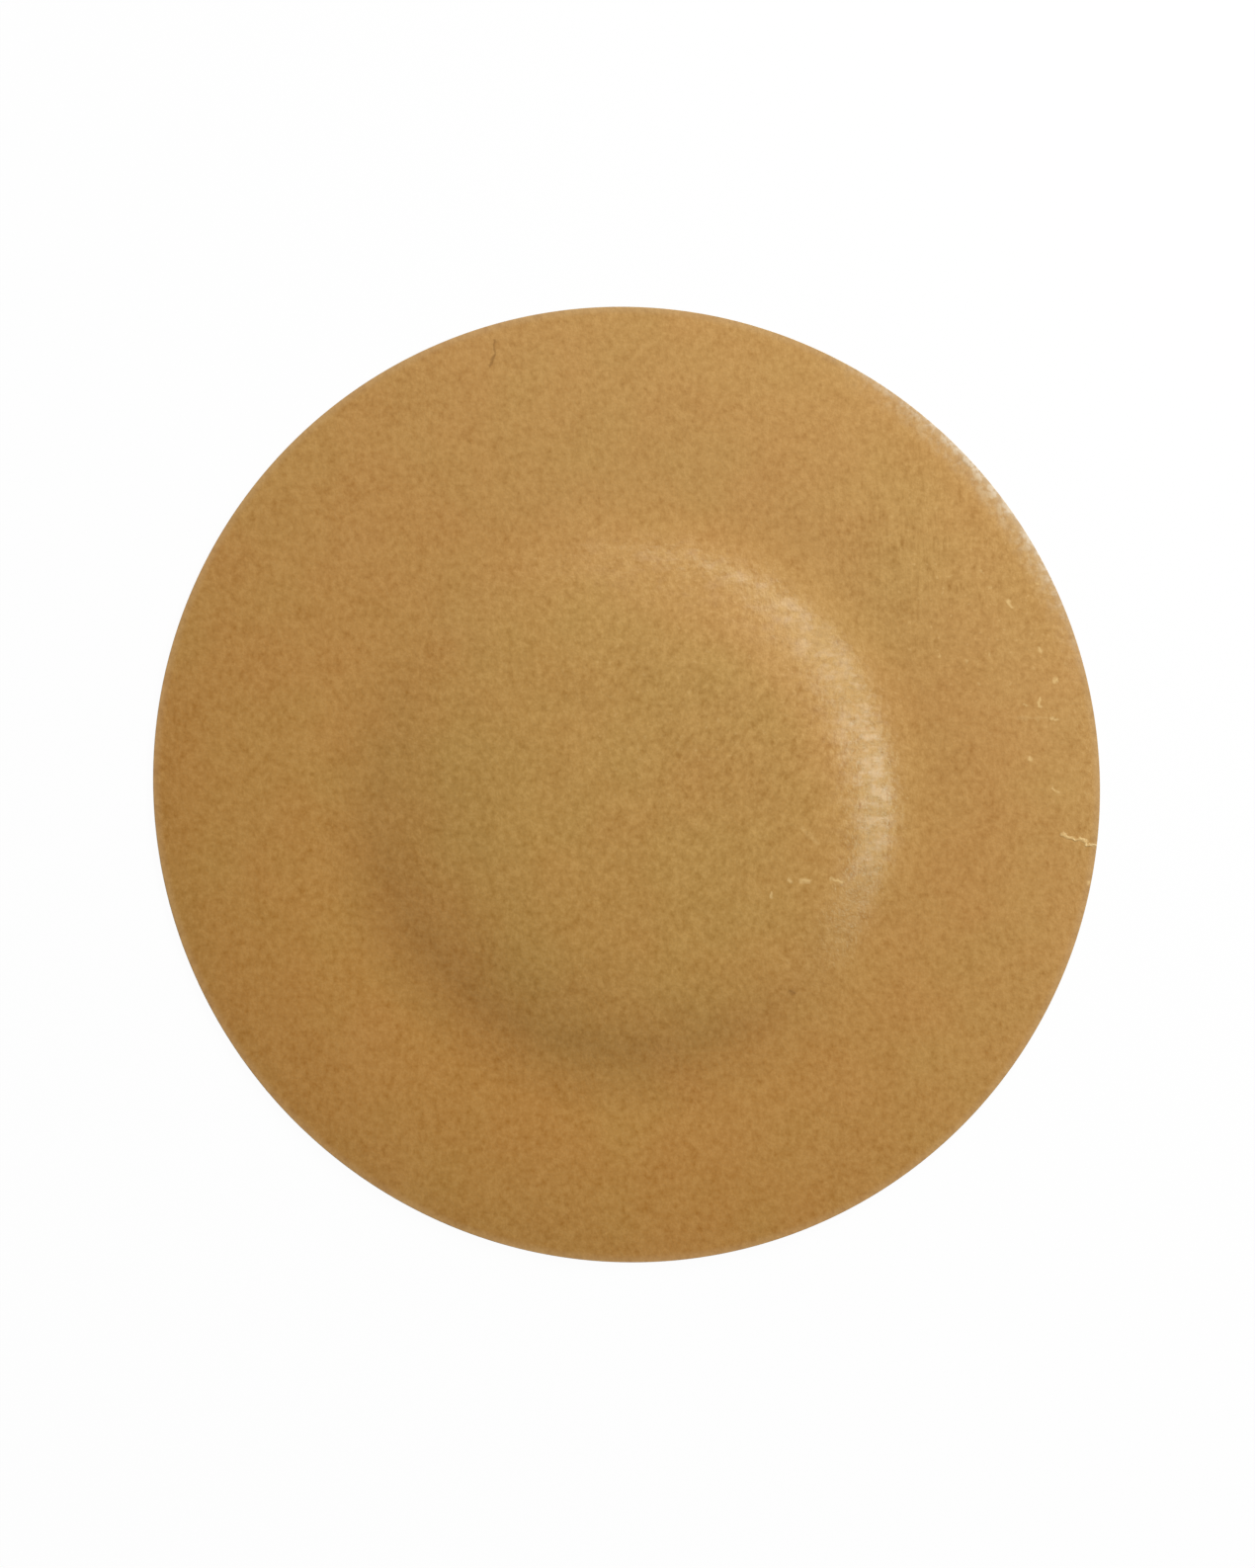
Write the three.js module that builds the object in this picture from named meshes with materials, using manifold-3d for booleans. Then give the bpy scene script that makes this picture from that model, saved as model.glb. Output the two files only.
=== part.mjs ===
// Round transdermal patch of the reservoir type, lying on its release liner.
// Millimetres, +Z up. The origin is the centre of the liner's underside.
import * as THREE from "three";
import * as BufferGeometryUtils from "three/addons/utils/BufferGeometryUtils.js";
import Module from "manifold-3d";

const wasm = await Module();
wasm.setup();

// Outline and dome
const patchDiameter = 70;
const domeFootDiameter = 42.5;
const domeRise = 1.75;
const domeShoulder = 3;
const domeOffCentre = 1.45;

// Layers
const backingThickness = 0.12;
const membraneThickness = 0.06;
const sealDiscThickness = 0.1;
const linerThickness = 0.1;

// Edges and seams
const sealBandWidth = 2.5;
const sealToAdhesiveGap = 0.3;
const rimRollWidth = 1.2;
const rimRollDrop = 0.05;
const gelToFilmClearance = 0.02;
const gelEdgeThickness = 0.08;

// Slit that parts the liner so that it can be peeled
const slitToRim = 8;
const slitWidth = 0.3;

// Fineness of the round shapes
const segmentsAround = 72;
const domeSteps = 12;
const rimRollSteps = 3;

// Heights of the stack, from the surface up
const sealDiscBase = linerThickness;
const membraneBase = sealDiscBase + sealDiscThickness;
const filmBase = membraneBase + membraneThickness;
const ringTop = filmBase + backingThickness;

// Radii
const patchRadius = patchDiameter / 2;
const footRadius = domeFootDiameter / 2;
const membraneRadius = footRadius + sealBandWidth;
const adhesiveInnerRadius = membraneRadius + sealToAdhesiveGap;

// Height of the dome above the ring: a broad low crown that bends over a round shoulder into an S-shaped flank. The
// higher the shoulder's exponent, the flatter the crown and the nearer the flank is to the foot.
function domeHeight(radius) {
  const footShare = Math.min(radius / footRadius, 1);
  return (domeRise * (1 + Math.cos(Math.PI * footShare ** domeShoulder))) / 2;
}

function domeSlope(radius) {
  const step = 0.01;
  return (domeHeight(radius + step) - domeHeight(Math.abs(radius - step))) / (2 * step);
}

// Dome profile from the axis to the foot, set below the film's top face by a depth measured square to that face.
function domeProfile(depth) {
  return Array.from({ length: domeSteps + 1 }, (_, i) => {
    const radius = (footRadius * i) / domeSteps;
    const slope = domeSlope(radius);
    const faceLength = Math.hypot(1, slope);
    return new THREE.Vector2(
      radius + (depth * slope) / faceLength,
      ringTop + domeHeight(radius) - depth / faceLength,
    );
  });
}

// The die-cut rim, rolled over a little by the punch: a quarter cosine from the edge in to the flat ring.
function rimProfile() {
  return Array.from({ length: rimRollSteps + 1 }, (_, i) => {
    const share = 1 - i / rimRollSteps;
    return new THREE.Vector2(
      patchRadius - rimRollWidth * (1 - share),
      ringTop - rimRollDrop * (1 - Math.cos((Math.PI / 2) * share)),
    );
  });
}

// A profile turned about the vertical axis. It runs outwards along the underside and back along the top.
function turned(profile) {
  return new THREE.LatheGeometry(profile, segmentsAround).rotateX(Math.PI / 2);
}

// The punch met the web a little off the dome's centre. What belongs to the dome sits towards -Y by the whole
// offset, and from the adhesive's inner edge out to the rim the offset runs out.
function offCentre(geometry) {
  const position = geometry.attributes.position;
  for (let i = 0; i < position.count; i += 1) {
    const radius = Math.hypot(position.getX(i), position.getY(i));
    const share = THREE.MathUtils.clamp((patchRadius - radius) / (patchRadius - adhesiveInnerRadius), 0, 1);
    position.setY(i, position.getY(i) - domeOffCentre * share);
  }
  return geometry;
}

function disc(radius, base, thickness) {
  return turned([
    new THREE.Vector2(0, base),
    new THREE.Vector2(radius, base),
    new THREE.Vector2(radius, base + thickness),
    new THREE.Vector2(0, base + thickness),
  ]);
}

// The tan film: flat in the ring, formed up over the gel in the middle.
function backingFilm() {
  const underside = [...domeProfile(backingThickness), new THREE.Vector2(patchRadius, filmBase)];
  const top = [...rimProfile(), ...domeProfile(0).reverse()];
  return turned([...underside, ...top]);
}

// The gel fills the dome down to the membrane and ends where the space under the film gets too thin.
function drugGel() {
  const top = domeProfile(backingThickness + gelToFilmClearance).filter(
    (point) => point.y >= filmBase + gelEdgeThickness,
  );
  const edgeRadius = top[top.length - 1].x;
  return turned([new THREE.Vector2(0, filmBase), new THREE.Vector2(edgeRadius, filmBase), ...top.reverse()]);
}

// The adhesive lies outside the seal disc, as thick as the disc and the membrane together.
function adhesiveRing() {
  return turned([
    new THREE.Vector2(adhesiveInnerRadius, linerThickness),
    new THREE.Vector2(patchRadius, linerThickness),
    new THREE.Vector2(patchRadius, filmBase),
    new THREE.Vector2(adhesiveInnerRadius, filmBase),
    new THREE.Vector2(adhesiveInnerRadius, linerThickness),
  ]);
}

function toManifold(geometry) {
  const bare = geometry.clone();
  bare.deleteAttribute("normal");
  bare.deleteAttribute("uv");
  const merged = BufferGeometryUtils.mergeVertices(bare);
  return new wasm.Manifold(
    new wasm.Mesh({
      numProp: 3,
      vertProperties: new Float32Array(merged.attributes.position.array),
      triVerts: new Uint32Array(merged.index.array),
    }),
  );
}

function toGeometry(manifold) {
  const mesh = manifold.getMesh();
  const geometry = new THREE.BufferGeometry();
  geometry.setAttribute("position", new THREE.BufferAttribute(new Float32Array(mesh.vertProperties), 3));
  geometry.setIndex(new THREE.BufferAttribute(new Uint32Array(mesh.triVerts), 1));
  geometry.computeVertexNormals();
  return geometry;
}

// A block that covers the liner on one side of the slit, from the slit's near edge outwards.
function halfPlane(side) {
  const slitCentre = slitToRim - patchRadius;
  const block = new THREE.BoxGeometry(2 * patchDiameter, 2 * patchDiameter, 2 * patchDiameter);
  block.translate(0, slitCentre + side * (patchDiameter + slitWidth / 2), 0);
  return toManifold(block);
}

// One part of the liner: side is +1 for the large part and -1 for the strip that is lifted first.
function linerPart(side) {
  return toGeometry(toManifold(disc(patchRadius, 0, linerThickness)).intersect(halfPlane(side)));
}

const patch = new THREE.Group();

function addPiece(name, geometry, color, roughness, opacity = 1) {
  const material = new THREE.MeshStandardMaterial({ color, roughness, metalness: 0 });
  material.opacity = opacity;
  material.transparent = opacity < 1;
  const mesh = new THREE.Mesh(geometry, material);
  mesh.name = name;
  patch.add(mesh);
}

addPiece("backing_film", offCentre(backingFilm()), 0xb68a53, 0.6);
addPiece("drug_gel", offCentre(drugGel()), 0xe6e2d2, 0.25, 0.7);
addPiece("control_membrane", offCentre(disc(membraneRadius, membraneBase, membraneThickness)), 0xf2f1ec, 0.7);
addPiece("adhesive_ring", offCentre(adhesiveRing()), 0xe2d6b8, 0.35, 0.8);
addPiece("seal_disc", offCentre(disc(membraneRadius, sealDiscBase, sealDiscThickness)), 0xc9cacb, 0.4);
addPiece("release_liner", linerPart(1), 0xe9ebec, 0.3, 0.6);
addPiece("liner_peel_strip", linerPart(-1), 0xe9ebec, 0.3, 0.6);

export default patch;
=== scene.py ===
"""A round tan transdermal patch that lies on its release liner, dome up, seen almost from straight above."""

import math

import bpy
from mathutils import Matrix, Vector


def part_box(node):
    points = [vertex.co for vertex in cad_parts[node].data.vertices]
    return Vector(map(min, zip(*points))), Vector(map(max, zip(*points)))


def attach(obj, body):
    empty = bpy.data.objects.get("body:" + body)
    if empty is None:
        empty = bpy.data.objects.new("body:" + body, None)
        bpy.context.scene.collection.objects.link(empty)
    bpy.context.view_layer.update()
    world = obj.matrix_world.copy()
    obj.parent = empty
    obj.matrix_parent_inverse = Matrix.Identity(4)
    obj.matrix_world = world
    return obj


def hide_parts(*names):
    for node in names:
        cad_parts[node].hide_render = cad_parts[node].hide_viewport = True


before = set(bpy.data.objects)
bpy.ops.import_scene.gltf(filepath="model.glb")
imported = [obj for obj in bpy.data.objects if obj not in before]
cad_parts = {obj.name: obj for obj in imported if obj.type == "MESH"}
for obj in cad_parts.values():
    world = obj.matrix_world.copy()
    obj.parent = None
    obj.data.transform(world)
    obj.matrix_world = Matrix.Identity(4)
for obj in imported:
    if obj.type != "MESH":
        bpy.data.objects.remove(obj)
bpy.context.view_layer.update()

MM = 0.001


# Backing film.
# The tan top film of the patch: a matt polymer film, thermoformed into a low dome over the gel, heat-sealed
# around the dome's foot and punched out round, so that its rim rolls over a little.

FILM_LOW, FILM_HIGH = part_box("backing_film")
MEMBRANE_LOW, MEMBRANE_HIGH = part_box("control_membrane")
PATCH_RADIUS = (FILM_HIGH[0] - FILM_LOW[0]) / 2
FILM_BASE = MEMBRANE_HIGH[2]
FILM_THICKNESS = 0.12 * MM
RING_TOP = FILM_BASE + FILM_THICKNESS
SEAL_BAND = 2.5 * MM
FOOT_RADIUS = (MEMBRANE_HIGH[0] - MEMBRANE_LOW[0]) / 2 - SEAL_BAND
DOME_CENTRE_Y = (MEMBRANE_HIGH[1] + MEMBRANE_LOW[1]) / 2
DOME_RISE = FILM_HIGH[2] - RING_TOP
FOOT_SPREAD = 1.5 * MM
CROWN_RADIUS = 8 * MM
STEEPEST_RADIUS = 18.3 * MM
CROWN_BEND = 2.6
FOOT_BEND = 2.3
STEEP_BEARING = math.radians(-30)
BEND_LEAN = 0.9
STEEPEST_LEAN = -0.4 * MM
FOOT_WANDER = 0.8 * MM
SWELL_HEIGHT = 0.2 * MM
PUCKER_HEIGHT = 0.045 * MM
RING_CAMBER = 0.15 * MM
CAMBER_LEAN = -0.5
RING_RIPPLE = 0.08 * MM
RIM_ROLL_WIDTH = 2.8 * MM
RIM_ROLL_DROP = 0.06 * MM
DENT_X = 17.2 * MM
DENT_Y = -10.6 * MM
DENT_RADIUS = 4.5 * MM
DENT_DEPTH = 0.1 * MM
WANDER_LENGTH = 16 * MM
SWELL_LENGTH = 9 * MM
PUCKER_LENGTH = 2.6 * MM
RIPPLE_LENGTH = 12 * MM
SLACK_REACH = 0.7
RING_PUCKER_SHARE = 0.3
RIM_CROWDING = 1.5
WELD_DISTANCE = 0.001 * MM
SHAPE_SEED = 5
SEED_STEP = 17.3


class Field:
    """A value that varies over a surface, made of nodes, so that formulas can be written plainly."""

    def __init__(self, tree, socket):
        self.tree = tree
        self.socket = socket

    def math(self, operation, *others):
        made = self.tree.nodes.new("ShaderNodeMath")
        made.operation = operation
        for socket, value in zip(made.inputs, (self, *others)):
            put(self.tree, socket, value)
        return Field(self.tree, made.outputs[0])

    def __add__(self, other):
        return self.math("ADD", other)

    __radd__ = __add__

    def __sub__(self, other):
        return self.math("SUBTRACT", other)

    def __rsub__(self, other):
        return (self * -1).math("ADD", other)

    def __mul__(self, other):
        return self.math("MULTIPLY", other)

    __rmul__ = __mul__

    def __truediv__(self, other):
        return self.math("DIVIDE", other)

    def ramp(self, start, end):
        """0 at start and 1 at end, with soft ends in between."""
        made = add(self.tree, "ShaderNodeMapRange", {"Value": self, "From Min": start, "From Max": end})
        made.interpolation_type = "SMOOTHSTEP"
        return Field(self.tree, made.outputs["Result"])

    def held(self):
        """The value kept between 0 and 1."""
        return self.math("MAXIMUM", 0.0).math("MINIMUM", 1.0)


def put(tree, socket, value):
    """Links a field or an output to a socket, or writes a plain value into it."""
    if isinstance(value, Field):
        tree.links.new(value.socket, socket)
    elif isinstance(value, bpy.types.NodeSocket):
        tree.links.new(value, socket)
    else:
        socket.default_value = value


def add(tree, kind, inputs=(), **settings):
    """Adds a node with its settings and inputs."""
    made = tree.nodes.new(kind)
    for name, value in settings.items():
        setattr(made, name, value)
    for name, value in dict(inputs).items():
        put(tree, made.inputs[name], value)
    return made


def noise(tree, place, wavelength, detail=2.0, roughness=0.5, seed=0.0):
    """Soft random values about 0, with hills about a wavelength apart. A seed moves them."""
    away = seed * wavelength * SEED_STEP
    shift = add(tree, "ShaderNodeCombineXYZ", {"X": away, "Y": away, "Z": away})
    moved = tree.nodes.new("ShaderNodeVectorMath")
    put(tree, moved.inputs[0], place)
    put(tree, moved.inputs[1], shift.outputs[0])
    made = add(
        tree,
        "ShaderNodeTexNoise",
        {"Vector": moved.outputs[0], "Scale": 1 / wavelength, "Detail": detail, "Roughness": roughness},
    )
    return Field(tree, made.outputs[0]) - 0.5


def formed_layer_tree():
    """A tree for one layer of the patch: a disc or ring whose faces can follow the formed dome."""
    tree = bpy.data.node_groups.new("formed_layer", "GeometryNodeTree")
    tree.interface.new_socket("Geometry", in_out="OUTPUT", socket_type="NodeSocketGeometry")
    numbers = (
        "Outer Radius",
        "Outer Centre Y",
        "Inner Radius",
        "Inner Centre Y",
        "Top Height",
        "Under Height",
        "Under Follows Dome",
        "Least Thickness",
        "Patch Radius",
        "Dome Centre Y",
        "Dome Rise",
        "Crown Radius",
        "Steepest Radius",
        "Foot Radius",
        "Crown Bend",
        "Foot Bend",
        "Steep Bearing",
        "Bend Lean",
        "Steepest Lean",
        "Foot Wander",
        "Swell Height",
        "Pucker Height",
        "Dent X",
        "Dent Y",
        "Dent Radius",
        "Dent Depth",
        "Ring Camber",
        "Camber Lean",
        "Ring Ripple",
        "Rim Roll Width",
        "Rim Roll Drop",
    )
    for name in numbers:
        tree.interface.new_socket(name, in_out="INPUT", socket_type="NodeSocketFloat")
    for name in ("Spokes", "Top Rings", "Under Rings", "Seed"):
        tree.interface.new_socket(name, in_out="INPUT", socket_type="NodeSocketInt")
    tree.interface.new_socket("Material", in_out="INPUT", socket_type="NodeSocketMaterial")
    given = tree.nodes.new("NodeGroupInput")
    size = {socket.name: Field(tree, socket) for socket in given.outputs if socket.name}

    # A flat grid becomes the turned layer: its columns go round the axis, its rows go out over the top face,
    # down the rim and back in along the underside. A last row closes the wall of a ring's hole.
    rows = size["Top Rings"] + size["Under Rings"] + 3
    grid = add(
        tree,
        "GeometryNodeMeshGrid",
        {"Size X": 1.0, "Size Y": 1.0, "Vertices X": size["Spokes"] + 1, "Vertices Y": rows},
    )
    place = add(tree, "ShaderNodeSeparateXYZ", {"Vector": add(tree, "GeometryNodeInputPosition").outputs[0]})
    turn = (Field(tree, place.outputs["X"]) + 0.5) * math.tau
    row = ((Field(tree, place.outputs["Y"]) + 0.5) * (rows - 1)).math("ROUND")
    last = row.math("GREATER_THAN", rows - 1.5)
    hole = size["Inner Radius"].math("GREATER_THAN", 0.0)
    under = row.math("GREATER_THAN", size["Top Rings"] + 0.5) * (1 - last * hole)
    out_share = 1 - (1 - row / size["Top Rings"]).math("MAXIMUM", 0.0).math("POWER", RIM_CROWDING)
    back_share = ((rows - 2 - row) / size["Under Rings"]).math("MAXIMUM", 0.0)
    share = (out_share + under * (back_share - out_share)) * (1 - last)
    radius = size["Inner Radius"] + share * (size["Outer Radius"] - size["Inner Radius"])
    centre_y = size["Inner Centre Y"] + share * (size["Outer Centre Y"] - size["Inner Centre Y"])
    x = radius * turn.math("COSINE")
    y = radius * turn.math("SINE") + centre_y

    # It is steeper towards one side, and its radii wander a little, as gel settles under a soft film.
    from_dome_y = y - size["Dome Centre Y"]
    from_dome = (x * x + from_dome_y * from_dome_y).math("SQRT")
    steepness = (from_dome_y.math("ARCTAN2", x) - size["Steep Bearing"]).math("COSINE")
    here = add(tree, "ShaderNodeCombineXYZ", {"X": x, "Y": y}).outputs[0]
    seed = size["Seed"]
    wander = noise(tree, here, WANDER_LENGTH, detail=1.0, seed=seed) * size["Foot Wander"]
    bend = size["Crown Bend"] + steepness * size["Bend Lean"]
    steepest = size["Steepest Radius"] + steepness * size["Steepest Lean"] + wander
    foot = size["Foot Radius"] + wander
    inner_width = steepest - size["Crown Radius"]
    outer_width = foot - steepest
    inner_share = ((from_dome - size["Crown Radius"]) / inner_width).held()
    outer_left = 1 - ((from_dome - steepest) / outer_width).held()
    inner_drop = inner_share.math("POWER", bend) * inner_width / bend
    outer_drop = (1 - outer_left.math("POWER", size["Foot Bend"])) * outer_width / size["Foot Bend"]
    whole_drop = inner_width / bend + outer_width / size["Foot Bend"]
    dome = (1 - (inner_drop + outer_drop) / whole_drop) * size["Dome Rise"]

    # Slack in the film: broad swells and fine puckers on the dome, one shallow dent at its foot, a ring that
    # stands a hair higher in its middle, most of all on the near side, and a rim that the punch rolled over.
    on_dome = from_dome.ramp(size["Foot Radius"], size["Foot Radius"] * SLACK_REACH)
    puckered = RING_PUCKER_SHARE + (1 - RING_PUCKER_SHARE) * on_dome
    swell = noise(tree, here, SWELL_LENGTH, seed=seed + 3) * size["Swell Height"] * on_dome
    pucker = noise(tree, here, PUCKER_LENGTH, seed=seed + 7) * size["Pucker Height"] * puckered
    dent_x = x - size["Dent X"]
    dent_y = y - size["Dent Y"]
    from_dent = (dent_x * dent_x + dent_y * dent_y).math("SQRT")
    dent = from_dent.ramp(size["Dent Radius"], 0.0) * size["Dent Depth"]
    from_centre = (x * x + y * y).math("SQRT")
    ring_width = size["Patch Radius"] - size["Foot Radius"]
    middle = (((from_dome - size["Foot Radius"]) / ring_width).held() * math.pi).math("SINE")
    camber = middle * size["Ring Camber"] * (1 + y / from_centre * size["Camber Lean"])
    ripple = noise(tree, here, RIPPLE_LENGTH, detail=1.0, seed=seed + 11) * size["Ring Ripple"] * middle
    rolled = from_centre.ramp(size["Patch Radius"] - size["Rim Roll Width"], size["Patch Radius"])
    roll = rolled * rolled * size["Rim Roll Drop"]
    formed = dome + swell + pucker + camber + ripple - roll - dent

    bottom = size["Under Height"] + size["Under Follows Dome"] * formed
    top = (size["Top Height"] + formed).math("MAXIMUM", bottom + size["Least Thickness"])
    z = top + under * (bottom - top)
    moved = add(
        tree,
        "GeometryNodeSetPosition",
        {
            "Geometry": grid.outputs["Mesh"],
            "Position": add(tree, "ShaderNodeCombineXYZ", {"X": x, "Y": y, "Z": z}).outputs[0],
        },
    )
    # The seam, the poles and a hole's wall are welded shut.
    seams = {"Geometry": moved.outputs[0], "Distance": WELD_DISTANCE}
    welded = add(tree, "GeometryNodeMergeByDistance", seams)
    outward = add(tree, "GeometryNodeFlipFaces", {"Mesh": welded.outputs[0]})
    smooth = add(tree, "GeometryNodeSetShadeSmooth", {"Geometry": outward.outputs[0]})
    real = add(tree, "GeometryNodeRealizeInstances", {"Geometry": smooth.outputs[0]})
    dressing = {"Geometry": real.outputs[0], "Material": size["Material"]}
    finished = add(tree, "GeometryNodeSetMaterial", dressing)
    end = tree.nodes.new("NodeGroupOutput")
    tree.links.new(finished.outputs[0], end.inputs[0])
    return tree


FORMED_LAYER = formed_layer_tree()


def formed_layer(name, material, sizes):
    """Makes one layer of the patch with the tree and returns it as a plain mesh."""
    carrier = bpy.data.objects.new(f"{name}_carrier", bpy.data.meshes.new(f"{name}_carrier"))
    bpy.context.scene.collection.objects.link(carrier)
    modifier = carrier.modifiers.new("layer", "NODES")
    modifier.node_group = FORMED_LAYER
    shape = {
        "Outer Centre Y": 0.0,
        "Inner Radius": 0.0,
        "Inner Centre Y": 0.0,
        "Least Thickness": 0.01 * MM,
        "Patch Radius": PATCH_RADIUS,
        "Dome Centre Y": DOME_CENTRE_Y,
        "Dome Rise": DOME_RISE,
        "Crown Radius": CROWN_RADIUS,
        "Steepest Radius": STEEPEST_RADIUS,
        "Foot Radius": FOOT_RADIUS + FOOT_SPREAD,
        "Crown Bend": CROWN_BEND,
        "Foot Bend": FOOT_BEND,
        "Steep Bearing": STEEP_BEARING,
        "Bend Lean": BEND_LEAN,
        "Steepest Lean": STEEPEST_LEAN,
        "Foot Wander": FOOT_WANDER,
        "Swell Height": SWELL_HEIGHT,
        "Pucker Height": PUCKER_HEIGHT,
        "Dent X": DENT_X,
        "Dent Y": DENT_Y,
        "Dent Radius": DENT_RADIUS,
        "Dent Depth": DENT_DEPTH,
        "Ring Camber": RING_CAMBER,
        "Camber Lean": CAMBER_LEAN,
        "Ring Ripple": RING_RIPPLE,
        "Rim Roll Width": RIM_ROLL_WIDTH,
        "Rim Roll Drop": RIM_ROLL_DROP,
        "Seed": SHAPE_SEED,
        "Material": material,
        **sizes,
    }
    for item in FORMED_LAYER.interface.items_tree:
        if item.in_out == "INPUT" and item.name in shape:
            modifier[item.identifier] = shape[item.name]
    depsgraph = bpy.context.evaluated_depsgraph_get()
    mesh = bpy.data.meshes.new_from_object(carrier.evaluated_get(depsgraph))
    mesh.name = name
    bpy.data.objects.remove(carrier)
    piece = bpy.data.objects.new(name, mesh)
    bpy.context.scene.collection.objects.link(piece)
    return piece


def group_output(group, name):
    """The socket of that name on the group's one output node."""
    ends = [made for made in group.nodes if made.bl_idname == "NodeGroupOutput"]
    end = ends[0] if ends else group.nodes.new("NodeGroupOutput")
    return end.inputs[name]


COARSE_NOISE = 0.6
TONE_SPREAD = 1.2


def grain_group():
    """Shader group: fine mottled grain of a rolled film, as a height and as a tone, both about 0."""
    group = bpy.data.node_groups.new("film_grain", "ShaderNodeTree")
    for name in ("Size", "Stretch", "Turn"):
        group.interface.new_socket(name, in_out="INPUT", socket_type="NodeSocketFloat")
    for name in ("Height", "Tone"):
        group.interface.new_socket(name, in_out="OUTPUT", socket_type="NodeSocketFloat")
    given = group.nodes.new("NodeGroupInput")
    size = Field(group, given.outputs["Size"])
    place = add(group, "ShaderNodeTexCoord").outputs["Object"]
    turned = add(group, "ShaderNodeVectorRotate", {"Vector": place, "Angle": given.outputs["Turn"]})
    parts = add(group, "ShaderNodeSeparateXYZ", {"Vector": turned.outputs[0]})
    along = Field(group, parts.outputs["X"]) / (size * given.outputs["Stretch"])
    across = Field(group, parts.outputs["Y"]) / size
    flat = add(group, "ShaderNodeCombineXYZ", {"X": along, "Y": across}).outputs[0]

    # The tone's hills are a little wider than the height's, and lie elsewhere.
    put(group, group_output(group, "Height"), noise(group, flat, 1.0, roughness=COARSE_NOISE))
    tone = noise(group, flat, TONE_SPREAD, roughness=COARSE_NOISE, seed=8.0)
    put(group, group_output(group, "Tone"), tone)
    return group


GRAIN = grain_group()


def grain(tree, size, stretch=1.0, turn=0.0):
    """The grain's height and tone, with hills of that size, stretched along a line turned back from X."""
    made = tree.nodes.new("ShaderNodeGroup")
    made.node_tree = GRAIN
    for name, value in (("Size", size), ("Stretch", stretch), ("Turn", turn)):
        made.inputs[name].default_value = value
    return Field(tree, made.outputs["Height"]), Field(tree, made.outputs["Tone"])


def vector_math(tree, operation, *values):
    made = add(tree, "ShaderNodeVectorMath", operation=operation)
    for socket, value in zip(made.inputs, values):
        put(tree, socket, value)
    return made


def crease_group():
    """Shader group: a mask, 1 on the line from Start to End as seen from above and 0 a Width away."""
    group = bpy.data.node_groups.new("crease_line", "ShaderNodeTree")
    for name in ("Place", "Start", "End"):
        group.interface.new_socket(name, in_out="INPUT", socket_type="NodeSocketVector")
    group.interface.new_socket("Width", in_out="INPUT", socket_type="NodeSocketFloat")
    group.interface.new_socket("Mask", in_out="OUTPUT", socket_type="NodeSocketFloat")
    given = group.nodes.new("NodeGroupInput")
    flat = vector_math(group, "MULTIPLY", given.outputs["Place"], (1, 1, 0)).outputs[0]
    run = vector_math(group, "SUBTRACT", given.outputs["End"], given.outputs["Start"]).outputs[0]
    away = vector_math(group, "SUBTRACT", flat, given.outputs["Start"]).outputs[0]
    dot = Field(group, vector_math(group, "DOT_PRODUCT", away, run).outputs["Value"])
    square = Field(group, vector_math(group, "DOT_PRODUCT", run, run).outputs["Value"])
    share = (dot / square).held()
    scaled = add(group, "ShaderNodeVectorMath", {"Vector": run, "Scale": share}, operation="SCALE")
    gap = vector_math(group, "SUBTRACT", away, scaled.outputs[0]).outputs[0]
    distance = Field(group, vector_math(group, "LENGTH", gap).outputs["Value"])
    put(group, group_output(group, "Mask"), distance.ramp(given.outputs["Width"], 0.0))
    return group


CREASE = crease_group()


def strongest(masks):
    """The highest of several masks at each point."""
    whole = masks[0]
    for mask in masks[1:]:
        whole = whole.math("MAXIMUM", mask)
    return whole


def crease(tree, place, width, *points):
    """A mask for a crease through the points. Its width and they are in millimetres from the centre."""
    masks = []
    for start, end in zip(points, points[1:]):
        made = tree.nodes.new("ShaderNodeGroup")
        made.node_tree = CREASE
        put(tree, made.inputs["Place"], place)
        made.inputs["Start"].default_value = (start[0] * MM, start[1] * MM, 0)
        made.inputs["End"].default_value = (end[0] * MM, end[1] * MM, 0)
        made.inputs["Width"].default_value = width * MM
        masks.append(Field(tree, made.outputs["Mask"]))
    return strongest(masks)


def spot(tree, place, x, y, radius):
    """A soft round mask, 1 at a point in millimetres from the patch's centre and 0 a radius away."""
    parts = add(tree, "ShaderNodeSeparateXYZ", {"Vector": place})
    across = Field(tree, parts.outputs["X"]) - x * MM
    along = Field(tree, parts.outputs["Y"]) - y * MM
    return (across * across + along * along).math("SQRT").ramp(radius * MM, 0.0)


def new_material(name):
    """A material with an empty Principled shader, its tree and its shader."""
    material = bpy.data.materials.new(name)
    material.use_nodes = True
    tree = material.node_tree
    return material, tree, tree.nodes["Principled BSDF"]


def colour(red, green, blue):
    """A colour as it looks on a screen, from 0 to 255, as the shader wants it."""
    linear = [
        share / 12.92 if share <= 0.04045 else ((share + 0.055) / 1.055) ** 2.4
        for share in (red / 255, green / 255, blue / 255)
    ]
    return (*linear, 1.0)


def mixed(tree, share, first, second):
    """The first colour, with that share of the second."""
    made = add(tree, "ShaderNodeMix", data_type="RGBA")
    share_socket = made.inputs[0]
    first_colour, second_colour = made.inputs[6], made.inputs[7]
    put(tree, share_socket, share)
    put(tree, first_colour, first)
    put(tree, second_colour, second)
    return made.outputs[2]


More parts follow.
